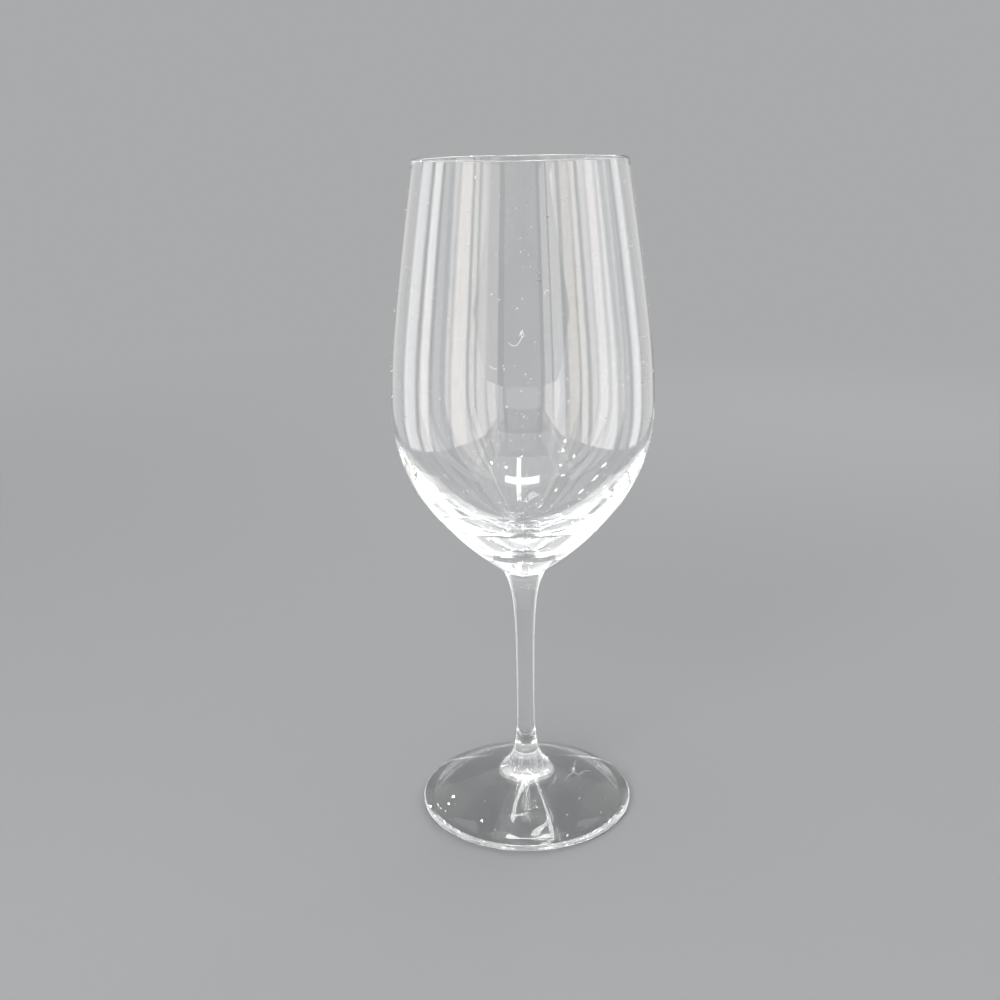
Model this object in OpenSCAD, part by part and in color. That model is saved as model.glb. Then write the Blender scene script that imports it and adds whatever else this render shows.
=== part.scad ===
// A tall stemmed wine glass, blown and pulled as one piece of clear glass.
// A branched hairline crack lies in the top of the foot, with a small nick in the foot's edge.
// +Z is the glass's own axis. The origin is the middle of the ring that the foot rests on.

/* [Overall] */
// Height from the table to the top of the rim
height = 225; // [180:1:270]
// Outside diameter at the rim
rim_d = 68.4; // [54:0.2:82]
// Outside diameter of the foot
foot_d = 75; // [62:0.5:95]

/* [Bowl] */
// Largest outside diameter of the bowl
belly_d = 86.9; // [72:0.1:108]
// Height of the largest diameter above the crease where the stem begins
belly_rise = 57.5; // [50:0.5:70]
// Radius of the round belly, seen from the side
belly_arc = 56; // [46:0.2:68]
// Angle that the round belly turns through below the largest diameter
belly_turn = 37.5; // [30:0.5:45]
// Radius of the slack curve just above the largest diameter
shoulder_arc = 208; // [150:2:260]
// Angle that this slack curve turns through
shoulder_turn = 7; // [4:0.2:9]
// Thickness of the bowl's wall
wall = 1.2; // [0.9:0.05:1.6]
// Angle below the largest diameter at which the wall begins to thicken
even_turn = 8; // [4:0.5:14]
// Height of the bowl's inside bottom above the crease
floor_rise = 11; // [8:0.1:14]
// How broad the rounded inside bottom is
floor_reach = 17.5; // [12:0.5:20]

/* [Stem] */
// Diameter at the crease where the bowl turns into the stem
crease_d = 15.2; // [12:0.2:18.4]
// Height of that crease
crease_h = 88.5; // [72:0.5:108]
// Angle of the stem just under the crease, from the horizontal
crease_angle = 60; // [50:1:75]
// Diameter of the stem where it is thinnest
stem_d = 6.2; // [5:0.1:7.6]
// Height of the thinnest place
waist_h = 38; // [32:1:46]

/* [Foot] */
// Diameter where the flare under the stem runs out onto the foot
flare_d = 22; // [18:0.5:26]
// Slope of the top of the foot, in degrees
foot_slope = 21.5; // [18:0.5:25]
// Radius of the rounded edge of the foot
edge_r = 1.2; // [0.9:0.05:1.6]
// Width of the flat ring that the foot rests on
ring_w = 2; // [1:0.1:5]
// Height of the hollow under the middle of the foot
hollow_h = 9; // [3:0.5:9.5]

/* [Damage] */
// Width of the hairline crack
crack_w = 0.12; // [0.08:0.02:0.3]
// Depth of the crack below the top of the foot
crack_depth = 0.8; // [0.4:0.1:1.4]
// Width of the nick in the edge of the foot
nick_w = 1.6; // [0.8:0.2:2.4]
// Depth of the nick
nick_depth = 0.3; // [0.1:0.05:0.5]
// Direction of the nick around the foot, in degrees from +X
nick_turn = 25; // [0:1:359]

/* [Hidden] */
glass_colour = [0.88, 0.91, 0.92, 0.45];

arc_step = 3;      // degrees between the points of an arc
curve_steps = 18;  // pieces in each free curve
round_steps = 6;   // pieces in each quarter of the rounded lip and foot edge
overshoot = 1;     // how far a cutter stands proud of the glass

// How long each end of a free curve keeps its own direction, as a share of the curve's rise or reach
pull_wall = 0.52;
pull_crease = 0.16;
pull_waist = 0.7;
pull_ankle = 0.78;
pull_flare = 0.78;

rim_r = rim_d / 2;
foot_r = foot_d / 2;
belly_r = belly_d / 2;
crease_r = crease_d / 2;
stem_r = stem_d / 2;
flare_r = flare_d / 2;
ring_in_r = foot_r - edge_r - ring_w;
belly_h = crease_h + belly_rise;
floor_h = crease_h + floor_rise;

// Profile points are [radius, height]. Angles are those of the outward normal, 0 facing sideways.
function unit(angle) = [cos(angle), sin(angle)];
function steps(from, to) = max(2, ceil(abs(to - from) / arc_step));
function arc_in(centre, r, from, to, n) =
    [for (i = [0 : n]) centre + r * unit(from + (to - from) * i / n)];
function arc(centre, r, from, to) = arc_in(centre, r, from, to, steps(from, to));

// Radius of the arc that leaves a point at right angles to its normal and passes through another.
function joining_r(start, angle, end) =
    (start - end) * (start - end) / (2 * (start - end) * unit(angle));
// How far that arc turns before it reaches the end point.
function joining_turn(start, angle, end) =
    let (r = joining_r(start, angle, end), spoke = (end - start + r * unit(angle)) / r)
    atan2(spoke * unit(angle + 90), spoke * unit(angle));
// The arc itself, grown by a distance along its normals.
function joining_arc(start, angle, end, grow) =
    let (r = joining_r(start, angle, end), turn = joining_turn(start, angle, end))
    arc(start - r * unit(angle), r + grow, angle, angle + turn);

// Cubic curve from a to b that leaves along da and arrives along db.
function curve(a, da, db, b) =
    [for (i = [0 : curve_steps]) let (t = i / curve_steps, s = 1 - t)
        s * s * s * a + 3 * s * s * t * (a + da) + 3 * s * t * t * (b - db) + t * t * t * b];

function backwards(points) = [for (i = [len(points) - 1 : -1 : 0]) points[i]];

// Landmarks on the outside of the bowl
shoulder_centre = [belly_r - shoulder_arc, belly_h];
belly_centre = [belly_r - belly_arc, belly_h];
shoulder_end = shoulder_centre + shoulder_arc * unit(shoulder_turn);
belly_end = belly_centre + belly_arc * unit(-belly_turn);
lip_r = wall / 2;
lip_centre = [rim_r - lip_r, height - lip_r];
wall_middle = shoulder_end - lip_r * unit(shoulder_turn);
rim_angle = shoulder_turn + joining_turn(wall_middle, shoulder_turn, lip_centre);
crease = [crease_r, crease_h];

// Outside of the bowl from the crease up to the lip, and its inside from the lip down to the axis
bowl_outside = concat(
    backwards(joining_arc(belly_end, -belly_turn, crease, 0)),
    arc(belly_centre, belly_arc, -belly_turn, 0),
    arc(shoulder_centre, shoulder_arc, 0, shoulder_turn),
    joining_arc(wall_middle, shoulder_turn, lip_centre, lip_r));
lip = concat(
    arc_in(lip_centre, lip_r, rim_angle, 90, round_steps),
    arc_in(lip_centre, lip_r, 90, rim_angle + 180, round_steps));
inside_end = belly_centre + (belly_arc - wall) * unit(-even_turn);
inside_fall = pull_wall * (inside_end[1] - floor_h);
bowl_inside = concat(
    backwards(joining_arc(wall_middle, shoulder_turn, lip_centre, -lip_r)),
    arc(shoulder_centre, shoulder_arc - wall, shoulder_turn, 0),
    arc(belly_centre, belly_arc - wall, 0, -even_turn),
    curve(inside_end, inside_fall * unit(-even_turn - 90), [-floor_reach, 0], [0, floor_h]));

// Stem, flare and foot from the crease down to the middle of the underside
waist = [stem_r, waist_h];
edge_centre = [foot_r - edge_r, edge_r];
edge_top = edge_centre + edge_r * unit(90 - foot_slope);
function foot_top_h(r) = edge_top[1] + (edge_top[0] - r) * tan(foot_slope);
flare_end = [flare_r, foot_top_h(flare_r)];
crease_pull = pull_crease * (crease_h - waist_h);
waist_pull_up = pull_waist * (crease_h - waist_h);
waist_pull_down = pull_ankle * (waist_h - flare_end[1]);
flare_pull = pull_flare * (flare_r - stem_r);
stem_and_foot = concat(
    curve(crease, -crease_pull * unit(crease_angle), [0, -waist_pull_up], waist),
    curve(waist, [0, -waist_pull_down], flare_pull * unit(-foot_slope), flare_end),
    arc_in(edge_centre, edge_r, 90 - foot_slope, 0, round_steps),
    arc_in(edge_centre, edge_r, 0, -90, round_steps));
hollow_arc = (ring_in_r * ring_in_r + hollow_h * hollow_h) / (2 * hollow_h);
hollow_turn = asin(ring_in_r / hollow_arc);
hollow = arc([0, hollow_h - hollow_arc], hollow_arc, 90 - hollow_turn, 90);

// Points along the crack's three branches, seen from above, from the heart where they meet
crack_heart = [16.9, -2.1];
crack_branches = [
    [crack_heart, [17.4, 0.7], [18, 5.2], [18.7, 9.9]],
    [crack_heart, [18.5, -1.9], [20.4, 1.1], [21.4, 2.6], [23.8, 3.9]],
    [crack_heart, [15.4, -4.4], [13.8, -7.7]],
];
crack_tip = 0.4;    // width of each branch at its tip, as a share of its width at the heart
crack_burst = 0.8;  // radius of the crushed spot at the heart, as a share of the crack's width
crack_zone = [12, 32];  // radii between which the whole crack lies

// Half the crack's width at a branch's point, and the direction across the branch there.
function half_width(branch, i) = crack_w / 2 * (1 - (1 - crack_tip) * i / (len(branch) - 1));
function across(branch, i) =
    let (along = branch[min(i + 1, len(branch) - 1)] - branch[max(i - 1, 0)])
    [-along[1], along[0]] / norm(along);
function branch_side(branch, side) =
    [for (i = [0 : len(branch) - 1]) branch[i] + side * half_width(branch, i) * across(branch, i)];

// Drops each point that repeats the one before it.
function distinct(points) =
    [for (i = [0 : len(points) - 1]) if (i == 0 || norm(points[i] - points[i - 1]) > 1e-6) points[i]];

module glass_profile() {
    polygon(distinct(concat(
        backwards(bowl_inside), backwards(lip), backwards(bowl_outside), stem_and_foot, hollow)));
}

module crack_plan() {
    translate(crack_heart) circle(r = crack_w * crack_burst, $fn = 24);
    for (branch = crack_branches)
        polygon(concat(branch_side(branch, 1), backwards(branch_side(branch, -1))));
}

// A ring whose floor runs parallel to the top of the foot, at the crack's depth.
module crack_depth_ring() {
    lift = [0, overshoot];
    sink = [0, -crack_depth];
    inner = [crack_zone[0], foot_top_h(crack_zone[0])];
    outer = [crack_zone[1], foot_top_h(crack_zone[1])];
    rotate_extrude($fn = 180) polygon([inner + sink, outer + sink, outer + lift, inner + lift]);
}

module crack() {
    intersection() {
        linear_extrude(waist_h) crack_plan();
        crack_depth_ring();
    }
}

module nick() {
    ball_r = (nick_w * nick_w / 4 + nick_depth * nick_depth) / (2 * nick_depth);
    rotate([0, 0, nick_turn])
        translate([foot_r - nick_depth + ball_r, 0, edge_r + edge_r / 2])
            sphere(r = ball_r, $fn = 48);
}

module wine_glass() {
    color(glass_colour)
        difference() {
            rotate_extrude($fn = 180) glass_profile();
            crack();
            nick();
        }
}

wine_glass();
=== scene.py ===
"""A tall clear wine glass, dusty from standing in the open, with a branched crack in its foot."""

import math

import bpy
import numpy as np
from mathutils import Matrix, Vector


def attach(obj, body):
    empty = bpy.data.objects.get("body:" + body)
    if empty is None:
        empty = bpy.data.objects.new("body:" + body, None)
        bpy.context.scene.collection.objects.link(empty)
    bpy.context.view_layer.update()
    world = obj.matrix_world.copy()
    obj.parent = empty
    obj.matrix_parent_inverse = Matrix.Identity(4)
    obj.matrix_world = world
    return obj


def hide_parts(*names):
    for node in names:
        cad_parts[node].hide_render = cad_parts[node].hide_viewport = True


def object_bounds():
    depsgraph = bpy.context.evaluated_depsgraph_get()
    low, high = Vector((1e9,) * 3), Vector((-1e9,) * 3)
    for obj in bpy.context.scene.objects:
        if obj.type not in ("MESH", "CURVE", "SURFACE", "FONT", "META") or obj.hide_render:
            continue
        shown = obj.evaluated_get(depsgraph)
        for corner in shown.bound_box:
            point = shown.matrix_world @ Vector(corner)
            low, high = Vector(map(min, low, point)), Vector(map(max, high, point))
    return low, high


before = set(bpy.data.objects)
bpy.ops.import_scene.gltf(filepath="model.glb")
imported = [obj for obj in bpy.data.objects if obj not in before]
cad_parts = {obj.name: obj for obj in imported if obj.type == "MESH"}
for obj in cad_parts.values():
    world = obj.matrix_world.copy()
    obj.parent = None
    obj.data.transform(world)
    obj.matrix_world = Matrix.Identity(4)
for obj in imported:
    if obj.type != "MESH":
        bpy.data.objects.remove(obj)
cad_box = [list(corner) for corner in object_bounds()]


# ---------------------------------------------------------------------------------------------
# The glass: one piece of clear crystal. The bowl is blown in a mould, the stem is pulled from
# the bowl's bottom, and the foot is pressed on while hot. All of it is a body of revolution.
# ---------------------------------------------------------------------------------------------

MM = 0.001

height = cad_box[1][2] / MM
belly_r = cad_box[1][0] / MM
rim_r = 34.2
foot_r = 37.5
crease_r = 7.6
crease_h = 88.5
crease_angle = 60
belly_h = crease_h + 57.5
belly_arc = 56
belly_turn = 37.5
shoulder_arc = 208
shoulder_turn = 7
wall = 1.2
even_turn = 8
floor_h = crease_h + 11
floor_reach = 17.5
stem_r = 3.1
waist_h = 38
flare_r = 11
foot_slope = 21.5
edge_r = 1.2
ring_w = 2
hollow_h = 9

nick_turn = 25
nick_w = 1.6
nick_depth = 0.3

# How long each end of a free curve keeps its own direction, as a share of the curve's rise or reach
pull_wall = 0.52
pull_crease = 0.16
pull_waist = 0.7
pull_ankle = 0.78
pull_flare = 0.78


def unit(degrees):
    """Unit vector at an angle from sideways: (cos a, sin a)."""
    angle = np.radians(degrees)
    return np.stack([np.cos(angle), np.sin(angle)], axis=-1)


def arc(centre, r, start, end, count):
    """Points on a circle: centre + r (cos a, sin a), with a running evenly from start to end."""
    return centre + r * unit(np.linspace(start, end, count))


def joining_arc(start, angle, end, grow, count):
    """Arc through two points, square to the normal at the first.

    Its radius is |s - e|^2 / (2 (s - e) . n); grow moves the whole arc out along its normals.
    """
    normal = unit(angle)
    gap = start - end
    r = gap @ gap / (2 * gap @ normal)
    spoke = (end - start + r * normal) / r
    turn = math.degrees(math.atan2(spoke @ unit(angle + 90), spoke @ normal))
    return arc(start - r * normal, r + grow, angle, angle + turn, count), angle + turn


def curve(a, da, db, b, count):
    """Cubic Bezier curve from a to b with handles a + da and b - db."""
    t = np.linspace(0, 1, count)[:, None]
    s = 1 - t
    return s**3 * a + 3 * s**2 * t * (a + da) + 3 * s * t**2 * (b - db) + t**3 * b


belly_centre = np.array([belly_r - belly_arc, belly_h])
shoulder_centre = np.array([belly_r - shoulder_arc, belly_h])
belly_end = belly_centre + belly_arc * unit(-belly_turn)
inside_end = belly_centre + (belly_arc - wall) * unit(-even_turn)
wall_middle = shoulder_centre + (shoulder_arc - wall / 2) * unit(shoulder_turn)
lip_centre = np.array([rim_r - wall / 2, height - wall / 2])
crease = np.array([crease_r, crease_h])
waist = np.array([stem_r, waist_h])
edge_centre = np.array([foot_r - edge_r, edge_r])
edge_top = edge_centre + edge_r * unit(90 - foot_slope)
ring_in_r = foot_r - edge_r - ring_w


def foot_top(r):
    """Height of the foot's top at a radius: a straight slope down to the rounded edge."""
    return edge_top[1] + (edge_top[0] - r) * math.tan(math.radians(foot_slope))


flare_end = np.array([flare_r, foot_top(flare_r)])
floor_curve = curve(
    np.array([0, floor_h]),
    np.array([floor_reach, 0]),
    pull_wall * (inside_end[1] - floor_h) * unit(90 - even_turn),
    inside_end,
    count=70,
)
inner_rise, _ = joining_arc(wall_middle, shoulder_turn, lip_centre, -wall / 2, count=16)
outer_rise, rim_angle = joining_arc(wall_middle, shoulder_turn, lip_centre, wall / 2, count=16)
under_belly, _ = joining_arc(belly_end, -belly_turn, crease, 0, count=30)
stem_drop = crease_h - waist_h
flare_drop = waist_h - flare_end[1]
upper_stem = curve(
    crease,
    -pull_crease * stem_drop * unit(crease_angle),
    np.array([0, -pull_waist * stem_drop]),
    waist,
    count=46,
)
lower_stem = curve(
    waist,
    np.array([0, -pull_ankle * flare_drop]),
    pull_flare * (flare_r - stem_r) * unit(-foot_slope),
    flare_end,
    count=46,
)
foot_radii = np.linspace(flare_r, edge_top[0], 14)[1:]
hollow_arc = (ring_in_r**2 + hollow_h**2) / (2 * hollow_h)
hollow_turn = math.degrees(math.asin(ring_in_r / hollow_arc))

# From the middle of the bowl's floor, up the inside, over the lip, and down to the foot's middle.
profile = np.concatenate(
    [
        floor_curve,
        arc(belly_centre, belly_arc - wall, -even_turn, 0, count=8)[1:],
        arc(shoulder_centre, shoulder_arc - wall, 0, shoulder_turn, count=8)[1:],
        inner_rise[1:],
        arc(lip_centre, wall / 2, rim_angle + 180, rim_angle, count=15)[1:],
        outer_rise[::-1][1:],
        arc(shoulder_centre, shoulder_arc, shoulder_turn, 0, count=8)[1:],
        arc(belly_centre, belly_arc, 0, -belly_turn, count=26)[1:],
        under_belly[1:],
        upper_stem[1:],
        lower_stem[1:],
        np.stack([foot_radii, foot_top(foot_radii)], axis=1),
        arc(edge_centre, edge_r, 90 - foot_slope, -90, count=19)[1:],
        np.array([[ring_in_r + ring_w / 2, 0], [ring_in_r + 0.1, 0]]),
        arc(np.array([0, hollow_h - hollow_arc]), hollow_arc, 90 - hollow_turn, 90, count=16),
    ]
)


def skin(rings, first, last):
    """Closed surface through rings of points, with a single point at each end.

    Rings are rows, points around are columns. Each square joins a ring to the next one.
    """
    rows, cols = rings.shape[:2]
    points = np.concatenate([rings.reshape(-1, 3), [first], [last]])
    index = np.arange(rows * cols).reshape(rows, cols)
    after = np.roll(index, -1, axis=1)
    quads = np.stack([index[:-1], index[1:], after[1:], after[:-1]], axis=-1).reshape(-1, 4)
    start = np.stack([index[0], after[0], np.full(cols, rows * cols)], axis=1)
    end = np.stack([after[-1], index[-1], np.full(cols, rows * cols + 1)], axis=1)
    return points, quads, np.concatenate([start, end])


def lathe(outline, angles):
    """Surface of revolution: (r cos a, r sin a, z) over outline rows and angle columns.

    The outline's first and last points lie on the axis.
    """
    r, z = outline[1:-1, :1], outline[1:-1, 1:]
    heights = np.broadcast_to(z, (len(r), len(angles)))
    rings = np.stack([r * np.cos(angles), r * np.sin(angles), heights], axis=-1)
    return skin(rings, [0, 0, outline[0, 1]], [0, 0, outline[-1, 1]])


def make_mesh(name, parts, materials):
    """Smooth mesh object from parts of (points in millimetres, quads, triangles), in one mesh.

    Each part takes the material at its own place in the list, and any further part the last one.
    """
    mesh = bpy.data.meshes.new(name)
    counts = [len(points) for points, _, _ in parts]
    shifts = np.concatenate([[0], np.cumsum(counts)[:-1]]).astype(int)
    points = np.concatenate([points for points, _, _ in parts]) * MM
    corners, sizes, slots = [], [], []
    for slot, (shift, (_, quads, triangles)) in enumerate(zip(shifts, parts)):
        corners += [(quads + shift).ravel(), (triangles + shift).ravel()]
        sizes += [np.full(len(quads), 4), np.full(len(triangles), 3)]
        slots.append(np.full(len(quads) + len(triangles), min(slot, len(materials) - 1)))
    sizes = np.concatenate(sizes)
    mesh.vertices.add(len(points))
    mesh.vertices.foreach_set("co", points.astype(np.float32).ravel())
    mesh.loops.add(int(sizes.sum()))
    mesh.loops.foreach_set("vertex_index", np.concatenate(corners).astype(np.int32))
    mesh.polygons.add(len(sizes))
    starts = np.concatenate([[0], np.cumsum(sizes)[:-1]])
    mesh.polygons.foreach_set("loop_start", starts.astype(np.int32))
    mesh.polygons.foreach_set("use_smooth", np.ones(len(sizes), bool))
    for material in materials:
        mesh.materials.append(material)
    mesh.polygons.foreach_set("material_index", np.concatenate(slots).astype(np.int32))
    mesh.update(calc_edges=True)
    piece = bpy.data.objects.new(name, mesh)
    bpy.context.scene.collection.objects.link(piece)
    return piece


# Columns around the glass, set close together across the nick.
nick_span = 2 * math.degrees(nick_w / foot_r)
nick_start, nick_end = nick_turn - nick_span / 2, nick_turn + nick_span / 2
fine_columns = np.linspace(nick_start, nick_end, 22)[:-1]
plain_columns = np.linspace(nick_end, nick_start + 360, 250)[:-1]
angles = np.radians(np.concatenate([fine_columns, plain_columns]))
points, quads, triangles = lathe(profile, angles)

# The nick: points inside a ball that bites into the foot's edge are pushed back to its surface.
ball_r = (nick_w**2 / 4 + nick_depth**2) / (2 * nick_depth)
nick_centre = np.append((foot_r - nick_depth + ball_r) * unit(nick_turn), 1.5 * edge_r)
from_nick = points - nick_centre
distance = np.linalg.norm(from_nick, axis=1, keepdims=True)
points = np.where(distance < ball_r, nick_centre + from_nick * ball_r / distance, points)

# The hairline crack, seen from above: branches that run out from a heart, in millimetres.
# Each has the depth that it reaches, its lean from upright and how far its faces stand apart.
crack_heart = (16.9, -2.1)
branches = [
    ([crack_heart, (17.4, 0.7), (18.0, 5.2), (18.7, 9.9)], 1.0, 42, 0.05),
    ([crack_heart, (18.5, -1.9), (20.4, 1.1), (21.4, 2.6), (23.8, 3.9)], 0.9, -48, 0.05),
    ([crack_heart, (15.4, -4.4), (13.8, -7.7)], 0.7, 38, 0.03),
    ([(16.8, -1.6), (17.3, 0.2), (17.6, 2.4)], 1.3, 62, 0.08),
]
cover = 0.02  # glass left over the crack's upper edge


def along(stations, count):
    """Evenly spaced points on a path through stations, bent smoothly at each by a cubic blend."""
    stations = np.array(stations, float)
    gaps = np.linalg.norm(np.diff(stations, axis=0), axis=1)
    reach = np.concatenate([[0], np.cumsum(gaps)])
    slopes = np.gradient(stations, reach, axis=0)
    s = np.linspace(0, reach[-1], count)
    k = np.clip(np.searchsorted(reach, s, side="right") - 1, 0, len(gaps) - 1)
    span = gaps[k][:, None]
    t = (s[:, None] - reach[k][:, None]) / span
    return (
        (1 + 2 * t) * (1 - t) ** 2 * stations[k]
        + t * (1 - t) ** 2 * span * slopes[k]
        + t**2 * (3 - 2 * t) * stations[k + 1]
        + t**2 * (t - 1) * span * slopes[k + 1]
    )


def crack_faces(stations, depth, lean, gap, rng):
    """Both faces of a crack: a thin lens carried along a path just under the foot's top.

    A point is path + depth (1 - cos v) / 2 down the leaning sheet + gap / 2 sin v across it.
    Depth and gap fall to nothing at the tips as sin^0.4 of the way along.
    """
    count, cols = 60, 12
    wander, unevenness = 0.05, 0.25
    path = along(stations, count)
    path[1:-1] += wander * rng.standard_normal((count - 2, 2))
    r = np.linalg.norm(path, axis=1, keepdims=True)
    slope = math.radians(foot_slope)
    middle = np.concatenate([path, foot_top(r)], axis=1)
    up = np.concatenate([math.sin(slope) * path / r, np.full_like(r, math.cos(slope))], axis=1)
    ahead = np.gradient(middle, axis=0)
    ahead /= np.linalg.norm(ahead, axis=1, keepdims=True)
    side = np.cross(up, ahead)
    tilt = math.radians(lean)
    down = -math.cos(tilt) * up + math.sin(tilt) * side
    across = np.cross(ahead, down)
    taper = np.sin(np.linspace(0, math.pi, count))[:, None, None] ** 0.4
    ripple = 1 + unevenness * np.repeat(rng.standard_normal(count // 3), 3)[:, None, None]
    v = np.linspace(0, 2 * math.pi, cols, endpoint=False)[None, :, None]
    rings = (
        (middle - cover * up)[:, None]
        + depth * taper * ripple * (1 - np.cos(v)) / 2 * down[:, None]
        + gap / 2 * taper * np.sin(v) * across[:, None]
    )
    ends = (middle - cover * up)[[0, -1]]
    return skin(rings[1:-1], ends[0], ends[1])


rng = np.random.default_rng(11)
cracks = [crack_faces(*branch, rng) for branch in branches]


def glass_finish(name, colour, clarity):
    """Glass with a faint green in its depth; returns its material, shader, nodes and links."""
    material = bpy.data.materials.new(name)
    material.use_nodes = True
    nodes, links = material.node_tree.nodes, material.node_tree.links
    shader = nodes["Principled BSDF"]
    shader.inputs["Base Color"].default_value = colour
    shader.inputs["IOR"].default_value = 1.52
    shader.inputs["Transmission Weight"].default_value = clarity
    absorb = nodes.new("ShaderNodeVolumeAbsorption")
    absorb.inputs["Color"].default_value = (0.88, 0.93, 0.92, 1)
    absorb.inputs["Density"].default_value = 4
    links.new(absorb.outputs["Volume"], nodes["Material Output"].inputs["Volume"])
    return material, shader, nodes, links


# Clear glass: wiped by hand, so smears a few millimetres wide dull it here and there, and the
# surface has the faint waves of blown glass.
clear, shader, nodes, links = glass_finish("clear_crystal", (1, 1, 1, 1), 1)
place = nodes.new("ShaderNodeTexCoord")
stretch = nodes.new("ShaderNodeMapping")
stretch.inputs["Rotation"].default_value = (0.5, 0.3, 0)
stretch.inputs["Scale"].default_value = (1, 1, 0.35)
smear = nodes.new("ShaderNodeTexNoise")
smear.inputs["Scale"].default_value = 46
smear.inputs["Detail"].default_value = 5
smear.inputs["Roughness"].default_value = 0.62
dull = nodes.new("ShaderNodeMapRange")
dull.inputs["From Min"].default_value = 0.52
dull.inputs["From Max"].default_value = 0.78
dull.inputs["To Max"].default_value = 0.035
film = nodes.new("ShaderNodeMapRange")
film.inputs["From Min"].default_value = 0.45
film.inputs["From Max"].default_value = 0.8
film.inputs["To Min"].default_value = 1.0
film.inputs["To Max"].default_value = 0.955
tone = nodes.new("ShaderNodeCombineColor")
wave = nodes.new("ShaderNodeTexNoise")
wave.inputs["Scale"].default_value = 22
wave.inputs["Detail"].default_value = 1
bump = nodes.new("ShaderNodeBump")
bump.inputs["Strength"].default_value = 0.25
bump.inputs["Distance"].default_value = 0.0004
links.new(place.outputs["Object"], stretch.inputs["Vector"])
links.new(stretch.outputs["Vector"], smear.inputs["Vector"])
links.new(stretch.outputs["Vector"], wave.inputs["Vector"])
links.new(smear.outputs["Fac"], dull.inputs["Value"])
links.new(smear.outputs["Fac"], film.inputs["Value"])
links.new(dull.outputs["Result"], shader.inputs["Roughness"])
for channel in ("Red", "Green", "Blue"):
    links.new(film.outputs["Result"], tone.inputs[channel])
links.new(tone.outputs["Color"], shader.inputs["Base Color"])
links.new(wave.outputs["Fac"], bump.inputs["Height"])
links.new(bump.outputs["Normal"], shader.inputs["Normal"])

# The crack's faces: freshly parted glass, rippled and finely frosted.
frosted, shader, nodes, links = glass_finish("cracked_face", (0.93, 0.95, 0.95, 1), 0.45)
place = nodes.new("ShaderNodeTexCoord")
hackle = nodes.new("ShaderNodeTexNoise")
hackle.inputs["Scale"].default_value = 2600
hackle.inputs["Detail"].default_value = 3
frost = nodes.new("ShaderNodeMapRange")
frost.inputs["To Min"].default_value = 0.2
frost.inputs["To Max"].default_value = 0.55
bump = nodes.new("ShaderNodeBump")
bump.inputs["Strength"].default_value = 0.8
bump.inputs["Distance"].default_value = 0.00005
links.new(place.outputs["Object"], hackle.inputs["Vector"])
links.new(hackle.outputs["Fac"], frost.inputs["Value"])
links.new(frost.outputs["Result"], shader.inputs["Roughness"])
links.new(hackle.outputs["Fac"], bump.inputs["Height"])
links.new(bump.outputs["Normal"], shader.inputs["Normal"])

glass = make_mesh("crystal_glass", [(points, quads, triangles), *cracks], [clear, frosted])

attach(glass, "root")
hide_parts("wine_glass")


# ---------------------------------------------------------------------------------------------
# Dust: pale grains that have settled and stuck on the bowl and the foot, and white grains along the
# crack, partly crushed glass and partly a painted reflection of the light that the crack's faces
# reflect.
# Each grain is a small lump with twenty faces.
# ---------------------------------------------------------------------------------------------

golden = (1 + math.sqrt(5)) / 2
lump = np.array(
    [
        (-1, golden, 0), (1, golden, 0), (-1, -golden, 0), (1, -golden, 0),
        (0, -1, golden), (0, 1, golden), (0, -1, -golden), (0, 1, -golden),
        (golden, 0, -1), (golden, 0, 1), (-golden, 0, -1), (-golden, 0, 1),
    ]
) / math.sqrt(1 + golden**2)
lump_faces = np.array(
    [
        (0, 11, 5), (0, 5, 1), (0, 1, 7), (0, 7, 10), (0, 10, 11),
        (1, 5, 9), (5, 11, 4), (11, 10, 2), (10, 7, 6), (7, 1, 8),
        (3, 9, 4), (3, 4, 2), (3, 2, 6), (3, 6, 8), (3, 8, 9),
        (4, 9, 5), (2, 4, 11), (6, 2, 10), (8, 6, 7), (9, 8, 1),
    ]
)


def grains(centres, sizes, flatness, rng):
    """Lumps around centres: centre + size (lump turned at random, each point pushed in or out).

    Sizes are radii; flatness is one lump's height as a share of its width.
    """
    turns = np.linalg.qr(rng.standard_normal((len(centres), 3, 3)))[0]
    turns *= np.linalg.det(turns)[:, None, None]
    rough = 1 + 0.3 * rng.uniform(-1, 1, (len(centres), len(lump), 1))
    shapes = lump[None] * rough * np.array([1, 1, flatness])
    points = centres[:, None] + sizes[:, None, None] * np.einsum("nij,npj->npi", turns, shapes)
    faces = lump_faces[None] + len(lump) * np.arange(len(centres))[:, None, None]
    return points.reshape(-1, 3), np.zeros((0, 4), int), faces.reshape(-1, 3)


def scatter(outline, count, rng):
    """Random points on the surface that an outline makes, and the surface's normals there.

    A stretch's share is its length times its middle radius. Around the axis they lie at
    pi |u|^1.6 to either side of the front, with u even from -1 to 1, so thicker at the front.
    """
    step = np.diff(outline, axis=0)
    share = np.cumsum(np.linalg.norm(step, axis=1) * (outline[:-1, 0] + outline[1:, 0]))
    k = np.searchsorted(share, rng.uniform(0, share[-1], count))
    spot = outline[k] + rng.uniform(0, 1, (count, 1)) * step[k]
    u = rng.uniform(-1, 1, count)
    angle = math.pi * np.sign(u) * np.abs(u) ** 1.6 - math.pi / 2
    lean = np.stack([step[k][:, 1], -step[k][:, 0]], axis=1)
    lean /= np.linalg.norm(lean, axis=1, keepdims=True)
    turn = np.stack([np.cos(angle), np.sin(angle)], axis=1)
    places = np.column_stack([spot[:, :1] * turn, spot[:, 1]])
    normals = np.column_stack([lean[:, :1] * turn, lean[:, 1]])
    return places, normals


rng = np.random.default_rng(5)
clean_below = 104  # height on the bowl under which no dust lies
bowl_grains = 560
foot_grains = 46
grain_r = 0.19
flatness = 0.7
stand_off = 0.4  # how far a grain's middle stands off the glass, as a share of its radius

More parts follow.
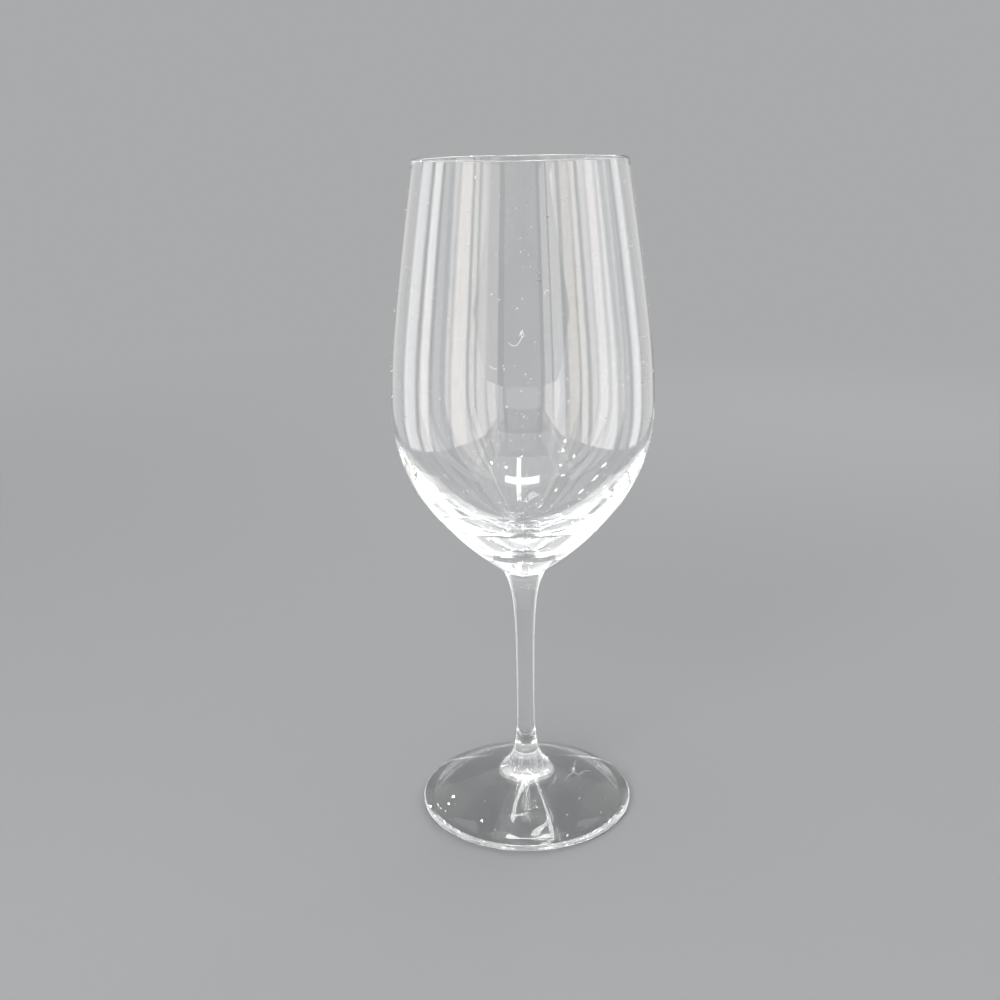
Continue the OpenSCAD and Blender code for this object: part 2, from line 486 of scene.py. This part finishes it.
belly_skin = arc(belly_centre, belly_arc, -belly_turn, 0, count=26)
shoulder_skin = arc(shoulder_centre, shoulder_arc, 0, shoulder_turn, count=8)
bowl_skin = np.concatenate(
    [under_belly[::-1], belly_skin[1:], shoulder_skin[1:], outer_rise[1:-1]]
)
bowl_skin = bowl_skin[bowl_skin[:, 1] > clean_below]
foot_skin = np.stack([foot_radii, foot_top(foot_radii)], axis=1)[::-1]
bowl_spots, bowl_out = scatter(bowl_skin, bowl_grains, rng)
foot_spots, foot_out = scatter(foot_skin, foot_grains, rng)
spots = np.concatenate([bowl_spots, foot_spots])
outward = np.concatenate([bowl_out, foot_out])
sizes = np.clip(rng.lognormal(math.log(grain_r), 0.42, len(spots)), 0.1, 0.45)
settled = grains(spots + stand_off * sizes[:, None] * outward, sizes, flatness, rng)

# Crushed glass, partly painted reflection: white grains in a thin trail along every branch, and a
# thick burst of larger bits near the heart, which paints the crack's brightest glint.
trail_keep = 0.5  # share of the points along a branch that hold a grain
trail_spread = 0.06
burst_middle = np.array([17.25, 0.4])
burst_spread = np.array([0.28, 0.75])
burst_grains = 60
burst_growth = 1.5
crumb_and_glint_r = 0.085

trail = np.concatenate([along(stations, 90) for stations, _, _, _ in branches])
trail = trail[rng.uniform(0, 1, len(trail)) < trail_keep]
trail = trail + trail_spread * rng.standard_normal(trail.shape)
burst = burst_middle + burst_spread * rng.standard_normal((burst_grains, 2))
trail = np.concatenate([trail, burst])
trail = np.column_stack([trail, foot_top(np.linalg.norm(trail, axis=1))])
sizes = np.clip(rng.lognormal(math.log(crumb_and_glint_r), 0.3, len(trail)), 0.05, 0.15)
sizes[-burst_grains:] *= burst_growth
# These grains are white so that they paint the crack's reflected light as colour.
crushed_and_painted_glint = grains(trail, sizes, flatness, rng)


def mottle_group():
    """Shader group for loose dirt and the crack's painted glint: noise on the piece turns Dull to
    Pale from Start to End.
    """
    group = bpy.data.node_groups.new("mottle", "ShaderNodeTree")
    for name, kind in (
        ("Scale", "NodeSocketFloat"),
        ("Start", "NodeSocketFloat"),
        ("End", "NodeSocketFloat"),
        ("Dull", "NodeSocketColor"),
        ("Pale", "NodeSocketColor"),
    ):
        group.interface.new_socket(name, in_out="INPUT", socket_type=kind)
    group.interface.new_socket("Color", in_out="OUTPUT", socket_type="NodeSocketColor")
    nodes, links = group.nodes, group.links
    given = nodes.new("NodeGroupInput")
    result = nodes.new("NodeGroupOutput")
    place = nodes.new("ShaderNodeTexCoord")
    speckle = nodes.new("ShaderNodeTexNoise")
    share = nodes.new("ShaderNodeMapRange")
    tint = nodes.new("ShaderNodeMix")
    tint.data_type = "RGBA"
    # A Mix node has sockets for each type of data: these are the share and the two colours.
    factor, dull_side, pale_side = (tint.inputs[i] for i in (0, 6, 7))
    links.new(place.outputs["Object"], speckle.inputs["Vector"])
    links.new(given.outputs["Scale"], speckle.inputs["Scale"])
    links.new(speckle.outputs["Fac"], share.inputs["Value"])
    links.new(given.outputs["Start"], share.inputs["From Min"])
    links.new(given.outputs["End"], share.inputs["From Max"])
    links.new(share.outputs["Result"], factor)
    links.new(given.outputs["Dull"], dull_side)
    links.new(given.outputs["Pale"], pale_side)
    links.new(tint.outputs[2], result.inputs["Color"])
    return group


mottle = mottle_group()


def speckled_matt(name, roughness, **mottling):
    """Matt material whose colour comes from the mottle group, with the values given for it."""
    material = bpy.data.materials.new(name)
    material.use_nodes = True
    nodes, links = material.node_tree.nodes, material.node_tree.links
    shader = nodes["Principled BSDF"]
    shader.inputs["Roughness"].default_value = roughness
    tint = nodes.new("ShaderNodeGroup")
    tint.node_tree = mottle
    for socket, value in mottling.items():
        tint.inputs[socket].default_value = value
    links.new(tint.outputs["Color"], shader.inputs["Base Color"])
    return material


# This material also colours the crack's grains, whose whiteness is a painted reflection.
pale_dust_and_painted_glint = speckled_matt(
    "pale_dust_and_painted_glint",
    0.9,
    Scale=900,
    Start=0.35,
    End=0.6,
    Dull=(0.86, 0.85, 0.83, 1),
    Pale=(0.97, 0.97, 0.96, 1),
)
# One mesh holds the settled dust and the crack's white grains with their painted glint.
dust_and_painted_glint = make_mesh("dust_and_painted_glint", [settled, crushed_and_painted_glint], [pale_dust_and_painted_glint])
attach(dust_and_painted_glint, "root")


# ---------------------------------------------------------------------------------------------
# Lint: fine pale fibres from a cloth, curled up and clinging to the outside of the bowl.
# ---------------------------------------------------------------------------------------------

# Points along each fibre: degrees around from the viewer's side, and height in millimetres.
fibres = [
    [(-5.3, 173.8), (-4.3, 173.1), (-2.3, 173.0), (-0.8, 174.2), (0.0, 175.7), (-0.5, 176.7),
     (0.6, 177.4)],
    [(-1.0, 175.9), (0.1, 176.7), (0.9, 176.0), (0.2, 175.3)],
    [(-12.9, 167.0), (-11.6, 166.3), (-10.1, 166.2)],
    [(9.5, 187.5), (10.6, 188.6), (11.9, 188.2)],
    [(-21, 152), (-20.2, 153.1), (-20.4, 154.6)],
    [(171, 181), (169.5, 182.6), (170.6, 184.4), (173, 184.9)],
]
fibre_r = 0.12


def fibre(stations, r):
    """Tube of radius r on a path over the bowl: centre + r (cos v outwards + sin v sideways).

    The centre lies 0.8 r off the glass, so that the fibre clings to it.
    """
    turn, z = along(stations, 14 * len(stations)).T
    angle = np.radians(turn) - math.pi / 2
    around = np.interp(z, bowl_skin[:, 1], bowl_skin[:, 0]) + 0.8 * r
    centre = np.stack([around * np.cos(angle), around * np.sin(angle), z], axis=1)
    ahead = np.gradient(centre, axis=0)
    ahead /= np.linalg.norm(ahead, axis=1, keepdims=True)
    outward = np.stack([np.cos(angle), np.sin(angle), 0 * angle], axis=1)
    side = np.cross(ahead, outward)
    side /= np.linalg.norm(side, axis=1, keepdims=True)
    v = np.linspace(0, 2 * math.pi, 8, endpoint=False)[None, :, None]
    rings = np.cos(v) * np.cross(side, ahead)[:, None] + np.sin(v) * side[:, None]
    rings = centre[:, None] + r * rings
    return skin(rings[:, ::-1], centre[0] - r * ahead[0], centre[-1] + r * ahead[-1])


cotton_fibre = speckled_matt(
    "cotton_fibre",
    0.85,
    Scale=1500,
    Start=0.3,
    End=0.6,
    Dull=(0.88, 0.87, 0.85, 1),
    Pale=(0.98, 0.98, 0.97, 1),
)
lint = make_mesh("lint", [fibre(stations, fibre_r) for stations in fibres], [cotton_fibre])
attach(lint, "root")


# ---------------------------------------------------------------------------------------------
# The stage: a plain pale floor that runs out into a plain pale surround.
# ---------------------------------------------------------------------------------------------

grey = (0.40, 0.405, 0.41, 1)
stage_r = 3.0
air_gap = 0.0001

bpy.ops.mesh.primitive_circle_add(
    vertices=96, radius=stage_r, fill_type="NGON", location=(0, 0, -air_gap)
)
floor = bpy.context.object
floor.name = "floor"
material = bpy.data.materials.new("pale_floor")
material.use_nodes = True
nodes, links = material.node_tree.nodes, material.node_tree.links
shader = nodes["Principled BSDF"]
shader.inputs["Base Color"].default_value = grey
shader.inputs["Roughness"].default_value = 0.8
shader.inputs["Specular IOR Level"].default_value = 0
place = nodes.new("ShaderNodeTexCoord")
away = nodes.new("ShaderNodeVectorMath")
away.operation = "LENGTH"
fade = nodes.new("ShaderNodeMapRange")
fade.interpolation_type = "SMOOTHSTEP"
fade.inputs["From Min"].default_value = 0.25
fade.inputs["From Max"].default_value = 1.0
glow = nodes.new("ShaderNodeEmission")
glow.inputs["Color"].default_value = grey
mix = nodes.new("ShaderNodeMixShader")
links.new(place.outputs["Object"], away.inputs[0])
links.new(away.outputs["Value"], fade.inputs["Value"])
links.new(fade.outputs["Result"], mix.inputs["Fac"])
links.new(shader.outputs["BSDF"], mix.inputs[1])
links.new(glow.outputs["Emission"], mix.inputs[2])
links.new(mix.outputs["Shader"], nodes["Material Output"].inputs["Surface"])
floor.data.materials.append(material)

world = bpy.data.worlds.new("surround")
world.use_nodes = True
nodes, links = world.node_tree.nodes, world.node_tree.links
sky = nodes.new("ShaderNodeTexCoord")
split = nodes.new("ShaderNodeSeparateXYZ")
rise = nodes.new("ShaderNodeMapRange")
rise.interpolation_type = "SMOOTHSTEP"
rise.inputs["From Min"].default_value = 0.25
rise.inputs["From Max"].default_value = 1.0
rise.inputs["To Min"].default_value = 1.0
rise.inputs["To Max"].default_value = 1.8
links.new(sky.outputs["Generated"], split.inputs["Vector"])
links.new(split.outputs["Z"], rise.inputs["Value"])
links.new(rise.outputs["Result"], nodes["Background"].inputs["Strength"])
nodes["Background"].inputs["Color"].default_value = grey
bpy.context.scene.world = world


def lamp(name, place, turn, width, length, radiance, colour):
    """Rectangular lamp of an even radiance, unseen by the camera. Its power is radiance pi area."""
    data = bpy.data.lights.new(name, "AREA")
    data.shape = "RECTANGLE"
    data.size = width
    data.size_y = length
    data.energy = radiance * math.pi * width * length
    data.color = colour
    box = bpy.data.objects.new(name, data)
    box.location = place
    box.rotation_euler = turn
    box.visible_camera = False
    bpy.context.scene.collection.objects.link(box)
    return box


def card(name, place, turn, width, length, radiance, colour=(1, 1, 1)):
    """Lamp that shows only as a reflection, never straight through the glass, and lights nothing.

    Its strength is 1 where the light's path has a reflection in it and 0 elsewhere.
    """
    box = lamp(name, place, turn, width, length, radiance, colour)
    box.visible_diffuse = False
    box.data.use_nodes = True
    nodes, links = box.data.node_tree.nodes, box.data.node_tree.links
    path = nodes.new("ShaderNodeLightPath")
    reflected = nodes.new("ShaderNodeMath")
    reflected.operation = "GREATER_THAN"
    reflected.inputs[1].default_value = 0.5
    links.new(path.outputs["Glossy Depth"], reflected.inputs[0])
    links.new(reflected.outputs["Value"], nodes["Emission"].inputs["Strength"])
    return box


def facing(azimuth, elevation):
    """Place and turn of a lamp that faces the glass from 1.3 m away.

    The azimuth runs from the viewer's side towards +X. The lamp faces a point 0.12 m up the axis.
    """
    turn, tilt = math.radians(azimuth), math.radians(elevation)
    reach, target_h = 1.3, 0.12
    place = (
        reach * math.cos(tilt) * math.sin(turn),
        -reach * math.cos(tilt) * math.cos(turn),
        target_h + reach * math.sin(tilt),
    )
    return place, (math.pi / 2 - tilt, 0, turn)


lamp("overhead", (0, 0.1, 0.95), (0, 0, 0), 0.5, 0.5, 0.6, (1, 1, 1))

# Soft boxes in front and behind, low enough to light the dust; the glass does not reflect them.
for name, azimuth, elevation, radiance in (
    ("soft_front", -22, 22, 4.6),
    ("soft_back", 155, 22, 2.4),
):
    box = lamp(name, *facing(azimuth, elevation), 1.0, 0.8, radiance, (1, 1, 1))
    box.visible_glossy = False
    box.visible_transmission = False

# Upright cards along both sides, each as (near end, far end, radiance, colour).
side_x = 0.32
card_low = 0.002
card_high = 0.55
warm = (1.0, 0.93, 0.84)
rosy = (1.0, 0.95, 0.94)
cool = (0.95, 0.98, 1.0)
sides = {
    -1: [
        (-0.86, -0.55, 1.6, rosy),
        (-0.55, -0.42, 2.6, rosy),
        (-0.42, -0.30, 1.0, cool),
        (-0.30, -0.19, 2.4, warm),
        (-0.17, -0.06, 0.9, cool),
        (-0.04, 0.02, 2.4, rosy),
        (0.05, 0.16, 1.7, cool),
        (0.20, 0.60, 0.3, rosy),
    ],
    1: [
        (-0.95, -0.70, 1.8, cool),
        (-0.66, -0.46, 2.2, rosy),
        (-0.40, -0.30, 0.9, warm),
        (-0.28, -0.23, 3.0, warm),
        (-0.20, -0.04, 2.4, rosy),
        (0.00, 0.05, 0.8, cool),
        (0.08, 0.16, 1.7, cool),
        (0.20, 0.60, 0.3, rosy),
    ],
}
for side, row in sides.items():
    for i, (near, far, radiance, colour) in enumerate(row):
        middle = ((near + far) / 2, (card_low + card_high) / 2)
        card(
            f"card_{'left' if side < 0 else 'right'}_{i}",
            (side * side_x, *middle),
            (math.pi / 2, 0, side * math.pi / 2),
            far - near,
            card_high - card_low,
            radiance,
            colour,
        )

# A dim card behind the viewer, and a wide one overhead at the front.
card("card_front", (0, -1.1, 0.45), (math.pi / 2, 0, 0), 0.6, 0.9, 0.7, cool)
card("card_over", (0, -0.7, 1.3), (0, 0, 0), 2.0, 1.5, 1.4)

# Low cards at the back, which edge the stem and the bowl with a thin pale line.
for name, x in (("card_low_left", -0.09), ("card_low_right", 0.09)):
    card(name, (x, 0.11, 0.001), (math.pi, 0, 0), 0.10, 0.16, 1.5)

# Two crossed ceiling tubes, and small spots at pairs of (azimuth, elevation).
ceiling = 1.2
card("tube_across", (0.02, -0.11, ceiling), (0, 0, 0), 0.58, 0.15, 16)
card("tube_along", (0.075, -0.13, ceiling), (0, 0, 0), 0.08, 0.97, 14)
dots = [(2, 59), (-54, 40), (-58, 47), (-77, 45), (59, 57), (40, 66)]
dots += [(-95, 57), (-122, 58), (-126, 25), (-135, 25), (-143, 25)]
for i, (azimuth, elevation) in enumerate(dots):
    card(f"spot_{i}", *facing(azimuth, elevation), 0.05, 0.05, 60)


# ---------------------------------------------------------------------------------------------
# The camera stands just above the rim's height and looks down a little.
# ---------------------------------------------------------------------------------------------

camera_distance = 0.3961
camera_height = 0.2345
pitch = math.radians(17.05)
yaw = math.radians(1.16)
roll = math.radians(0.95)

data = bpy.data.cameras.new("viewpoint")
data.sensor_width = 36
data.lens = 43.92
camera = bpy.data.objects.new("viewpoint", data)
level_right = np.array([math.cos(yaw), math.sin(yaw), 0])
level_ahead = np.array([-math.sin(yaw), math.cos(yaw), 0])
ahead = math.cos(pitch) * level_ahead - math.sin(pitch) * np.array([0, 0, 1])
up = math.sin(pitch) * level_ahead + math.cos(pitch) * np.array([0, 0, 1])
right = math.cos(roll) * level_right - math.sin(roll) * up
top = math.sin(roll) * level_right + math.cos(roll) * up
pose = np.eye(4)
pose[:3, :4] = np.stack([right, top, -ahead, [0, -camera_distance, camera_height]], axis=1)
camera.matrix_world = pose.T.tolist()
bpy.context.scene.collection.objects.link(camera)
bpy.context.scene.camera = camera
bpy.context.scene.view_settings.view_transform = "Standard"

cycles = bpy.context.scene.cycles
cycles.use_denoising = True
cycles.denoiser = "OPENIMAGEDENOISE"
cycles.max_bounces = 200
cycles.transmission_bounces = 200
cycles.glossy_bounces = 200
cycles.sample_clamp_indirect = 40
